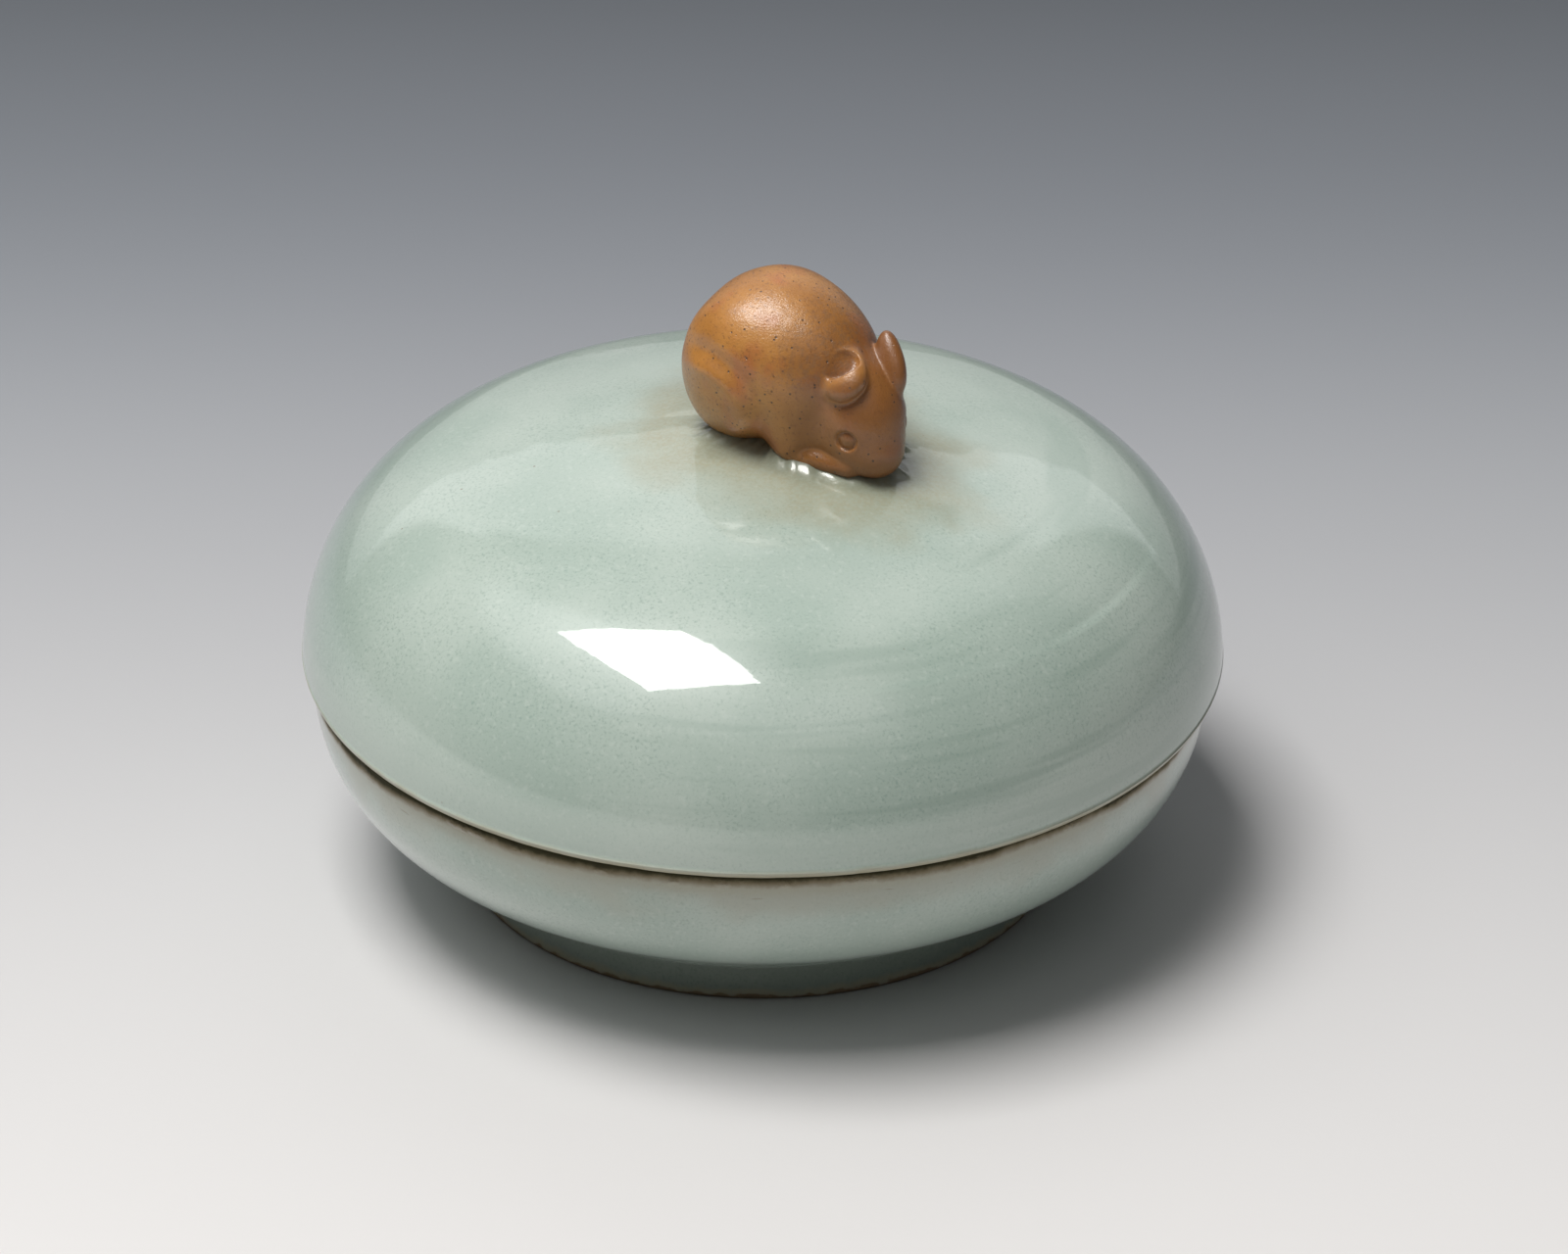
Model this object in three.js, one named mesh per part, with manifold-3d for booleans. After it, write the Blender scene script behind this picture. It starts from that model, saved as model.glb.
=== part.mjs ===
// Lidded celadon rice bowl with a crouching mouse as the knob of its lid.
//
// Millimetres, +Z up. The origin is the middle of the foot ring's underside, and the mouse
// faces +X. Two loose pieces: the bowl with its foot and locating flange, and the lid with
// the mouse, which lifts straight up off the bowl.

import * as THREE from "three";
import { mergeVertices } from "three/addons/utils/BufferGeometryUtils.js";
import Module from "manifold-3d";

const wasm = await Module();
wasm.setup();

// ---- Driving dimensions ----------------------------------------------------------------

const TURN_SEGMENTS = 60; // facets round every turned piece
const GAP = 0.3; // slip-thick gap between pieces that are luted together

const SEAT_Z = 37.5; // plane where the lid's edge rests on the bowl's rim
const WALL = 4.6; // glazed wall

// Bowl: an upright rim, a round side, and a shallow cone-like underside down to the foot.
const BOWL_RADIUS = 72.9;
const BOWL_SIDE_Z = 33.4; // the side arc starts here, below the upright rim
const BOWL_SIDE_ARC = 22;
const BOWL_UNDER_ARC = 103.6;
const BOWL_INNER_RADIUS = 67;
const BOWL_INNER_SIDE_ARC = 18.9;
const BOWL_FLOOR_Z = 11.3; // inside floor, at the axis
const RIM_ROUNDING = 0.9;

// Foot ring under the bowl.
const FOOT_RADIUS = 49.6;
const FOOT_INNER_RADIUS = 44.8;
const FOOT_HEIGHT = 6.3;
const FOOT_ROUNDING = 0.7;

// Locating flange: an upright ring in a rebate inside the rim, which the lid fits over.
const FLANGE_RADIUS = 69.3;
const FLANGE_TOP_Z = 42;
const REBATE_Z = 32.8;

// Lid: a wide shallow crown on a tight round shoulder.
const LID_RADIUS = 75;
const LID_SHOULDER_ARC = 34.7;
const LID_SHOULDER_Z = 37; // centre of the shoulder arc, a little below the edge
const LID_CROWN_ARC = 166;
const LID_EDGE_ROUNDING = 1.4;

// Mouse, by the places of its masses above the crown of the lid.
const TORSO_CENTRE = [4.6, 0, 13.3];
const TORSO_RADII = [15.4, 12.7, 13.2];
const CHEEK_RADIUS = 7.1;
const NOSE_RADIUS = 3.7;
const SKULL_CENTRE = [18.7, -0.7, 10.3];
const NOSE_CENTRE = [24.5, -2.6, 2.4];
const EAR_RADII = [3.4, 2.2, 4.6];
const RIGHT_EAR_CENTRE = [19.8, -4.6, 16.0];
const LEFT_EAR_CENTRE = [21.6, 3.7, 15.9];
const EAR_HOLLOW_SHARE = 0.72;
const HAUNCH_CENTRE = [-1.9, 7.5, 9.5];
const HAUNCH_RADII = [9.3, 6.2, 10.2];
const SHOULDER_CENTRE = [11, 6.9, 5.6];
const SHOULDER_RADII = [5.2, 4.2, 7.2];
const PAW_CENTRE = [17, 6.6, 0.6];
const PAW_RADII = [6.6, 2.4, 2];
const TAIL_RADIUS = 1.3;

// ---- Helpers ---------------------------------------------------------------------------

function arcPoints(centreR, centreZ, radius, fromAngle, toAngle, steps) {
  return Array.from({ length: steps + 1 }, (_, i) => {
    const angle = fromAngle + ((toAngle - fromAngle) * i) / steps;
    return [centreR + radius * Math.cos(angle), centreZ + radius * Math.sin(angle)];
  });
}

// A ring or a bowl from its profile, listed anticlockwise with r to the right and z up.
function turned(profile, segments = TURN_SEGMENTS) {
  const points = profile.map(([r, z]) => new THREE.Vector2(r, z));
  return new THREE.LatheGeometry(points, segments).rotateX(Math.PI / 2);
}

function ring(profile) {
  return turned([...profile, profile[0]]);
}

function solid(geometry) {
  const bare = geometry.clone();
  bare.deleteAttribute("normal");
  bare.deleteAttribute("uv");
  const merged = mergeVertices(bare, 1e-4);
  return new wasm.Manifold(
    new wasm.Mesh({
      numProp: 3,
      vertProperties: merged.attributes.position.array,
      triVerts: new Uint32Array(merged.index.array),
    }),
  );
}

function geometryOf(manifold) {
  const mesh = manifold.getMesh();
  return new THREE.BufferGeometry()
    .setAttribute("position", new THREE.BufferAttribute(mesh.vertProperties, 3))
    .setIndex(new THREE.BufferAttribute(mesh.triVerts, 1));
}

function ellipsoid(centre, radii, rotation = [0, 0, 0], detail = 20) {
  const geometry = new THREE.SphereGeometry(1, detail, Math.round(detail * 0.7));
  geometry.rotateX(Math.PI / 2).scale(...radii);
  geometry.applyMatrix4(new THREE.Matrix4().makeRotationFromEuler(new THREE.Euler(...rotation)));
  return geometry.translate(...centre);
}

function grown(radii, by) {
  return radii.map((radius) => radius + by);
}

function onSide([x, y, z], side) {
  return [x, side * y, z];
}

function named(name, geometry, material) {
  const mesh = new THREE.Mesh(geometry, material());
  mesh.name = name;
  return mesh;
}

const celadonGlaze = () =>
  new THREE.MeshStandardMaterial({ color: 0xa9bdb0, roughness: 0.12, metalness: 0 });
const bareStoneware = () =>
  new THREE.MeshStandardMaterial({ color: 0x8a6f52, roughness: 0.75, metalness: 0 });
const mouseBiscuit = () =>
  new THREE.MeshStandardMaterial({ color: 0xa4683a, roughness: 0.5, metalness: 0 });

// ---- Bowl ------------------------------------------------------------------------------

// Angle on the side arc where it meets a larger arc, centred on the axis, tangentially.
function tangentAngle(sideCentreR, sideArc, axisArc) {
  return Math.acos(sideCentreR / (axisArc - sideArc));
}

function bowlBody() {
  const sideR = BOWL_RADIUS - BOWL_SIDE_ARC;
  const outerTurn = tangentAngle(sideR, BOWL_SIDE_ARC, BOWL_UNDER_ARC);
  const underZ = BOWL_SIDE_Z + (BOWL_UNDER_ARC - BOWL_SIDE_ARC) * Math.sin(outerTurn);
  const footAngle = Math.asin((FOOT_HEIGHT - underZ) / BOWL_UNDER_ARC);

  const innerArc = BOWL_INNER_SIDE_ARC;
  const innerR = BOWL_INNER_RADIUS - innerArc;
  // The floor arc passes through the middle of the floor and touches the inner side arc.
  const drop = BOWL_SIDE_Z - BOWL_FLOOR_Z;
  const floorArc = (innerR ** 2 + drop ** 2 - innerArc ** 2) / (2 * (drop - innerArc));
  const innerTurn = tangentAngle(innerR, innerArc, floorArc);

  return turned([
    [0, FOOT_HEIGHT],
    ...arcPoints(0, underZ, BOWL_UNDER_ARC, footAngle, -outerTurn, 2),
    ...arcPoints(sideR, BOWL_SIDE_Z, BOWL_SIDE_ARC, -outerTurn, 0, 7).slice(1),
    ...arcPoints(BOWL_RADIUS - RIM_ROUNDING, SEAT_Z - RIM_ROUNDING, RIM_ROUNDING, 0, Math.PI / 2, 2),
    [FLANGE_RADIUS + GAP, SEAT_Z],
    [FLANGE_RADIUS + GAP, REBATE_Z],
    [BOWL_INNER_RADIUS, REBATE_Z],
    ...arcPoints(innerR, BOWL_SIDE_Z, innerArc, -0.06, -innerTurn, 5),
    ...arcPoints(0, BOWL_FLOOR_Z + floorArc, floorArc, -innerTurn, -Math.PI / 2, 3).slice(1, -1),
    [0, BOWL_FLOOR_Z],
  ]);
}

function footRing() {
  const r = FOOT_ROUNDING;
  return ring([
    [FOOT_INNER_RADIUS + r, 0],
    [FOOT_RADIUS - r, 0],
    [FOOT_RADIUS, r],
    [FOOT_RADIUS - 0.3, FOOT_HEIGHT],
    [FOOT_INNER_RADIUS - 0.8, FOOT_HEIGHT],
    [FOOT_INNER_RADIUS, r],
  ]);
}

function locatingFlange() {
  const tipRadius = (FLANGE_RADIUS - BOWL_INNER_RADIUS) / 2;
  return ring([
    [BOWL_INNER_RADIUS, REBATE_Z],
    [FLANGE_RADIUS, REBATE_Z],
    ...arcPoints(
      FLANGE_RADIUS - tipRadius,
      FLANGE_TOP_Z - tipRadius,
      tipRadius,
      0,
      Math.PI,
      4,
    ),
  ]);
}

// ---- Lid -------------------------------------------------------------------------------

const SHOULDER_R = LID_RADIUS - LID_SHOULDER_ARC;
const LID_TURN = tangentAngle(SHOULDER_R, LID_SHOULDER_ARC, LID_CROWN_ARC);
const CROWN_CENTRE_Z = LID_SHOULDER_Z - (LID_CROWN_ARC - LID_SHOULDER_ARC) * Math.sin(LID_TURN);
const CROWN_Z = CROWN_CENTRE_Z + LID_CROWN_ARC;

function lidShell() {
  const innerShoulder = LID_SHOULDER_ARC - WALL;
  const rise = SEAT_Z - LID_SHOULDER_Z;
  const edgeAngle = Math.asin((rise + LID_EDGE_ROUNDING) / LID_SHOULDER_ARC);
  const innerEdge = Math.asin(rise / innerShoulder);
  return turned([
    [0, CROWN_Z - WALL],
    ...arcPoints(0, CROWN_CENTRE_Z, LID_CROWN_ARC - WALL, Math.PI / 2, LID_TURN, 4).slice(1),
    ...arcPoints(SHOULDER_R, LID_SHOULDER_Z, innerShoulder, LID_TURN, innerEdge, 6).slice(1),
    ...arcPoints(
      LID_RADIUS - LID_EDGE_ROUNDING,
      SEAT_Z + LID_EDGE_ROUNDING,
      LID_EDGE_ROUNDING,
      -Math.PI / 2,
      -Math.PI / 8,
      2,
    ),
    ...arcPoints(SHOULDER_R, LID_SHOULDER_Z, LID_SHOULDER_ARC, edgeAngle, LID_TURN, 8),
    ...arcPoints(0, CROWN_CENTRE_Z, LID_CROWN_ARC, LID_TURN, Math.PI / 2, 5).slice(1, -1),
    [0, CROWN_Z],
  ]);
}

// ---- Mouse -----------------------------------------------------------------------------

// The crown of the lid, a gap proud, which every piece of the mouse is bedded on.
function crownBlank() {
  const reach = 0.32;
  const arc = arcPoints(
    0,
    CROWN_CENTRE_Z - CROWN_Z,
    LID_CROWN_ARC + GAP,
    Math.PI / 2 - reach,
    Math.PI / 2,
    8,
  );
  return solid(turned([[0, -20], [arc[0][0], -20], ...arc.slice(0, -1), [0, GAP]], 48));
}

const CROWN = crownBlank();

function torsoSolid(growth = 0) {
  return solid(ellipsoid(TORSO_CENTRE, grown(TORSO_RADII, growth), [0, 0, 0], 24));
}

// An egg turned about the line from skull to nose, with a round end at each.
function headSolid(growth = 0) {
  const skull = new THREE.Vector3(...SKULL_CENTRE);
  const nose = new THREE.Vector3(...NOSE_CENTRE);
  const length = skull.distanceTo(nose);
  const back = CHEEK_RADIUS + growth;
  const front = NOSE_RADIUS + growth;
  const lean = Math.asin((back - front) / length);
  const egg = new THREE.LatheGeometry(
    [
      [0, -back],
      ...arcPoints(0, 0, back, -Math.PI / 2, lean, 6).slice(1),
      ...arcPoints(0, length, front, lean, Math.PI / 2, 4).slice(0, -1),
      [0, length + front],
    ].map(([r, z]) => new THREE.Vector2(r, z)),
    18,
  );
  const along = nose.clone().sub(skull).normalize();
  egg.applyQuaternion(
    new THREE.Quaternion().setFromUnitVectors(new THREE.Vector3(0, 1, 0), along),
  );
  return solid(egg.translate(...SKULL_CENTRE));
}

function earGeometry(side) {
  const tilt = [side * -0.35, 0.35, side * 0.25];
  const centre = side < 0 ? RIGHT_EAR_CENTRE : LEFT_EAR_CENTRE;
  const ear = solid(ellipsoid(centre, EAR_RADII, tilt, 14));
  const [x, y, z] = centre;
  const hollowCentre = [x - 0.2, y + side * EAR_RADII[1] * 0.85, z + 0.3];
  const hollowRadii = EAR_RADII.map((radius) => radius * EAR_HOLLOW_SHARE);
  const hollow = solid(ellipsoid(hollowCentre, hollowRadii, tilt, 12));
  return ear.subtract(hollow).subtract(headSolid(GAP)).subtract(torsoSolid(GAP));
}

function forelegGeometry(side) {
  const shoulder = solid(
    ellipsoid(onSide(SHOULDER_CENTRE, side), SHOULDER_RADII, [side * 0.15, 0.35, 0], 12),
  );
  const paw = solid(ellipsoid(onSide(PAW_CENTRE, side), PAW_RADII, [0, 0.1, side * -0.05], 12));
  return shoulder
    .add(paw)
    .subtract(torsoSolid(GAP))
    .subtract(headSolid(GAP))
    .subtract(CROWN);
}

function haunchSolid(side, growth = 0) {
  const radii = grown(HAUNCH_RADII, growth);
  return solid(ellipsoid(onSide(HAUNCH_CENTRE, side), radii, [side * -0.12, 0, 0], 18));
}

function haunchGeometry(side) {
  return haunchSolid(side).subtract(torsoSolid(GAP)).subtract(CROWN);
}

// The tail lies on the lid and curls forward round the left haunch.
function tailGeometry() {
  const bed = TAIL_RADIUS + GAP + 0.05;
  const route = [[-12.3, 3.2], [-11.3, 9.5], [-6, 13.5], [0, 14.5], [6, 13.5], [9.6, 11.8]];
  const path = route.map(([x, y]) => {
    const fall = LID_CROWN_ARC - Math.sqrt(LID_CROWN_ARC ** 2 - x ** 2 - y ** 2);
    return new THREE.Vector3(x, y, bed - fall);
  });
  const section = new THREE.Shape();
  section.absarc(0, 0, TAIL_RADIUS, 0, 2 * Math.PI);
  const tail = new THREE.ExtrudeGeometry(section, {
    extrudePath: new THREE.CatmullRomCurve3(path),
    steps: 14,
    curveSegments: 4,
    bevelEnabled: false,
  });
  return solid(tail).subtract(torsoSolid(GAP)).subtract(haunchSolid(1, GAP)).subtract(CROWN);
}

function mouse() {
  const group = new THREE.Group();
  const add = (name, manifold) => group.add(named(name, geometryOf(manifold), mouseBiscuit));
  add("mouse_torso", torsoSolid().subtract(CROWN));
  add("mouse_head", headSolid().subtract(torsoSolid(GAP)).subtract(CROWN));
  for (const [word, side] of [["right", -1], ["left", 1]]) {
    add(`mouse_ear_${word}`, earGeometry(side));
    add(`mouse_foreleg_${word}`, forelegGeometry(side));
    add(`mouse_haunch_${word}`, haunchGeometry(side));
  }
  add("mouse_tail", tailGeometry());
  group.position.z = CROWN_Z;
  return group;
}

// ---- Assembly --------------------------------------------------------------------------

const bowl = new THREE.Group();
bowl.add(named("bowl_body", bowlBody(), celadonGlaze));
bowl.add(named("foot_ring", footRing(), celadonGlaze));
bowl.add(named("locating_flange", locatingFlange(), bareStoneware));

const lid = new THREE.Group();
lid.add(named("lid_shell", lidShell(), celadonGlaze));
lid.add(mouse());

const riceBowl = new THREE.Group();
riceBowl.add(bowl, lid);

export default riceBowl;
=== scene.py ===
import math

import bpy
import numpy as np
from mathutils import Euler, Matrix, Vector


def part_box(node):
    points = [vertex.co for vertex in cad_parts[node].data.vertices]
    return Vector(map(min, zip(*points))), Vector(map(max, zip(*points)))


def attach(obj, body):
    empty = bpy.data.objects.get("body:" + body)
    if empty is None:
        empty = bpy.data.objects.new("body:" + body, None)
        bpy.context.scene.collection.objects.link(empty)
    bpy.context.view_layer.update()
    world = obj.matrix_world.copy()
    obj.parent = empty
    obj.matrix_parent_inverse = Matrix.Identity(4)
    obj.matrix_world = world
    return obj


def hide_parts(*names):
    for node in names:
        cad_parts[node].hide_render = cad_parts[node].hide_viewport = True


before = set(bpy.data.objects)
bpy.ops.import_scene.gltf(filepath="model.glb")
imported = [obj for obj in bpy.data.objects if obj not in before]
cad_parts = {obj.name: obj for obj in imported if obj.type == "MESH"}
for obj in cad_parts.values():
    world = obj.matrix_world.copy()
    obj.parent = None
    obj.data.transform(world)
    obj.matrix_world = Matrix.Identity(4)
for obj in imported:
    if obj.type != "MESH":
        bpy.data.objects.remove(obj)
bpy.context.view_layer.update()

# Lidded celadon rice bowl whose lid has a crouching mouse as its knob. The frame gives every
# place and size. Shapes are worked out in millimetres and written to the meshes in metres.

MM = 0.001

# ---- Driving sizes, in millimetres: first those from the frame ---------------------------

SEAT_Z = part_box("lid_shell")[0].z / MM
CROWN_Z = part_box("lid_shell")[1].z / MM
LID_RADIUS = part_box("lid_shell")[1].x / MM
BOWL_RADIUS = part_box("bowl_body")[1].x / MM
FOOT_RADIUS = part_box("foot_ring")[1].x / MM
FOOT_TOP_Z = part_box("foot_ring")[1].z / MM
FLANGE_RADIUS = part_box("locating_flange")[1].x / MM
FLANGE_TOP_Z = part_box("locating_flange")[1].z / MM
REBATE_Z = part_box("locating_flange")[0].z / MM

# the profiles' arcs, walls and roundings
WALL = 4.6
BOWL_SIDE_ARC = 22.0
BOWL_SIDE_Z = SEAT_Z - 4.1
BOWL_UNDER_ARC = 103.6
BOWL_INNER_RADIUS = FLANGE_RADIUS - 2.3
BOWL_INNER_SIDE_ARC = 18.9
BOWL_FLOOR_Z = FOOT_TOP_Z + 5.0
RIM_ROUNDING = 0.9
FOOT_WALL = 4.8
FOOT_ROUNDING = 0.7
LID_SHOULDER_ARC = 34.7
LID_SHOULDER_Z = SEAT_Z - 0.5  # centre of the shoulder arc
LID_CROWN_ARC = 166.0
LID_EDGE_ROUNDING = 1.3
LID_STEP_ASIDE = 0.38  # the lid sits this far to the right on its seat
SEAM_CLEARANCE = 0.05
RIM_DROP = 0.62  # the bowl's rim falls away this far outside the seat
CROWN_DIP = 0.75  # the lid is lower by this much a little way out from the mouse

TURN_SEGMENTS = 384
MOUSE_CELL = 0.28  # grid that the mouse is meshed on

# ---- Camera ------------------------------------------------------------------------------

CAMERA_AZIMUTH = math.radians(35)
CAMERA_ELEVATION = math.radians(28.73)
CAMERA_ROLL = math.radians(0.42)
CAMERA_DISTANCE = 0.901
CAMERA_LENS = 127.0
CAMERA_SIDE_STEP = 0.0038
CAMERA_AIM_Z = 0.0403


def make_camera():
    back = Vector((
        math.sin(CAMERA_AZIMUTH) * math.cos(CAMERA_ELEVATION),
        -math.cos(CAMERA_AZIMUTH) * math.cos(CAMERA_ELEVATION),
        math.sin(CAMERA_ELEVATION),
    ))
    right = Vector((math.cos(CAMERA_AZIMUTH), math.sin(CAMERA_AZIMUTH), 0))
    aim = right * CAMERA_SIDE_STEP + Vector((0, 0, CAMERA_AIM_Z))
    data = bpy.data.cameras.new("camera")
    data.lens = CAMERA_LENS
    data.clip_start = 0.05
    data.clip_end = 50
    camera = bpy.data.objects.new("camera", data)
    camera.rotation_mode = "QUATERNION"
    level = (-back).to_track_quat("-Z", "Y")
    camera.rotation_quaternion = level @ Euler((0, 0, CAMERA_ROLL)).to_quaternion()
    camera.location = aim + back * CAMERA_DISTANCE
    bpy.context.scene.collection.objects.link(camera)
    bpy.context.scene.camera = camera


# ---- Shader building ---------------------------------------------------------------------


class Nodes:
    """A node tree. Each method adds a node and returns its output."""

    def __init__(self, tree):
        self.tree = tree
        self.tree.nodes.clear()

    def node(self, kind, inputs=None, **settings):
        made = self.tree.nodes.new("ShaderNode" + kind)
        for key, value in settings.items():
            setattr(made, key, value)
        for key, value in (inputs or {}).items():
            if isinstance(value, bpy.types.NodeSocket):
                self.tree.links.new(value, made.inputs[key])
            else:
                made.inputs[key].default_value = value
        return made

    def math(self, operation, *values):
        return self.node("Math", dict(enumerate(values)), operation=operation).outputs[0]

    def along(self, place, way):
        """How far a place lies along a direction."""
        inputs = {0: place, 1: tuple(way)}
        return self.node("VectorMath", inputs, operation="DOT_PRODUCT").outputs["Value"]

    def fade(self, value, start, end, low=0.0, high=1.0):
        """A smooth step from low at start to high at end."""
        inputs = {0: value, 1: start, 2: end, 3: low, 4: high}
        if start > end:
            inputs = {0: value, 1: end, 2: start, 3: high, 4: low}
        return self.node("MapRange", inputs, interpolation_type="SMOOTHSTEP").outputs[0]


class Shader(Nodes):
    """A material's node tree, with the point's place on the object in millimetres."""

    def __init__(self, name):
        self.material = bpy.data.materials.new(name)
        self.material.use_nodes = True
        super().__init__(self.material.node_tree)
        place = self.node("TexCoord").outputs["Object"]
        scaled = self.node("VectorMath", {0: place, "Scale": 1 / MM}, operation="SCALE")
        self.place = scaled.outputs[0]
        self.x, self.y, self.z = self.node("SeparateXYZ", {0: self.place}).outputs

    def stretched(self, scales):
        return self.node("VectorMath", {0: self.place, 1: scales}, operation="MULTIPLY").outputs[0]

    def noise(self, size, detail=2.0, roughness=0.5, place=None):
        """Smooth noise about 0.5, with features about size millimetres across."""
        inputs = {
            "Vector": place or self.place,
            "Scale": 1 / size,
            "Detail": detail,
            "Roughness": roughness,
        }
        return self.node("TexNoise", inputs).outputs[0]

    def spots(self, size, radius):
        """1 inside small round spots, about one in each cell of that size, else 0."""
        inputs = {"Vector": self.place, "Scale": 1 / size, "Randomness": 1.0}
        distance = self.node("TexVoronoi", inputs).outputs["Distance"]
        return self.fade(distance, radius / size, radius / size * 0.55)

    def mix(self, share, a, b):
        """Colour a, with that share of colour b."""
        made = self.node("Mix", data_type="RGBA")
        for socket, value in ((made.inputs[0], share), (made.inputs[6], a), (made.inputs[7], b)):
            if isinstance(value, bpy.types.NodeSocket):
                self.tree.links.new(value, socket)
            elif socket == made.inputs[0]:
                socket.default_value = value
            else:
                socket.default_value = (*value, 1)
        return made.outputs[2]

    def attribute(self, name):
        return self.node("Attribute", attribute_name=name).outputs["Fac"]

    def bump(self, height, depth, under=None):
        """Relief of that depth in millimetres."""
        inputs = {"Height": height, "Distance": depth * MM, "Strength": 1.0}
        if under is not None:
            inputs["Normal"] = under
        return self.node("Bump", inputs).outputs[0]

    def finish(self, inputs):
        surface = self.node("BsdfPrincipled", inputs)
        self.node("OutputMaterial", {"Surface": surface.outputs[0]})
        return self.material


# ---- Materials ---------------------------------------------------------------------------

GLAZE_PALE = (0.475, 0.555, 0.495)
GLAZE_DEEP = (0.400, 0.490, 0.430)
GLAZE_SPECK = (0.230, 0.320, 0.275)
GLAZE_THIN = (0.415, 0.420, 0.345)
# painted shade for the foot, which lies under the bowl's overhang
FOOT_PAINTED_SHADE = (0.130, 0.150, 0.118)
RIM_TAN = (0.375, 0.340, 0.235)
EDGE_BROWN = (0.150, 0.075, 0.030)
RIM_BROWN = (0.185, 0.140, 0.066)
# painted shade of the gap under the lid's edge, dark olive over the rim's stain
SEAM_SHADE_OLIVE = (0.040, 0.036, 0.012)
HALO_TAN = (0.345, 0.318, 0.205)
HALO_GREY = (0.225, 0.250, 0.185)
STONEWARE_TAN = (0.210, 0.150, 0.090)
STONEWARE_BURNT = (0.075, 0.045, 0.022)
MOUSE_ORANGE = (0.510, 0.222, 0.044)
MOUSE_TAN = (0.420, 0.174, 0.034)
# darker brown for the head, the hollows and the far ear: partly painted shade
MOUSE_BROWN_AND_SHADE = (0.210, 0.078, 0.022)
MOUSE_RED = (0.420, 0.115, 0.032)
MOUSE_DUST = (0.175, 0.105, 0.060)
GLAZE_MILK = (0.56, 0.63, 0.57)
# painted shade of the throwing rings under grazing light
GLAZE_RING_SHADE = (0.300, 0.390, 0.335)
GLAZE_LOW = (0.47, 0.55, 0.49)
SCRATCH_BROWN = (0.180, 0.120, 0.060)
GRIT_PALE = (0.36, 0.30, 0.21)
# near black for the deepest hollows: painted shade, with dirt
DIRT_AND_SHADE = (0.055, 0.028, 0.012)
SPECKLE_BROWN = (0.190, 0.075, 0.022)
PORE_DARK = (0.045, 0.024, 0.012)
RIDGE_PALE = (0.60, 0.27, 0.075)

GLAZE_ROUGHNESS = 0.32
BARE_ROUGHNESS = 0.8


def glaze_colour(shader):
    """Celadon with broad clouds, a fine mottle, throwing streaks and scattered iron specks."""
    clouds = shader.fade(shader.noise(32, 2), 0.35, 0.65)
    colour = shader.mix(clouds, GLAZE_PALE, GLAZE_DEEP)
    patchy = shader.fade(shader.noise(18, 2), 0.35, 0.65, 0.25, 0.55)
    mottle = shader.fade(shader.noise(0.46, 2, 0.6), 0.50, 0.72)
    colour = shader.mix(shader.math("MULTIPLY", mottle, patchy), colour, GLAZE_SPECK)
    pale = shader.fade(shader.noise(0.9, 1), 0.55, 0.75, 0.0, 0.30)
    colour = shader.mix(pale, colour, GLAZE_MILK)
    rare = shader.math("MULTIPLY", shader.spots(5.5, 0.26), shader.fade(shader.noise(9), 0.5, 0.6))
    return shader.mix(shader.math("MULTIPLY", rare, 0.6), colour, EDGE_BROWN)


def glaze_bump(shader):
    peel = shader.bump(shader.noise(2.6, 1), 0.012)
    return shader.bump(shader.noise(0.55, 1), 0.0022, peel)


def glazed(shader, colour, bare, normal):
    """The finished glaze: glossy, but rough and without its coat where the clay is bare."""
    return shader.finish({
        "Base Color": colour,
        "IOR": 1.5,
        "Specular IOR Level": 0.3,
        "Coat Roughness": 0.035,
        "Coat IOR": 1.5,
        "Normal": normal,
        "Coat Normal": normal,
        "Coat Weight": shader.math("SUBTRACT", 1.0, bare),
        "Roughness": shader.fade(bare, 0.0, 1.0, GLAZE_ROUGHNESS, BARE_ROUGHNESS),
    })


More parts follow.
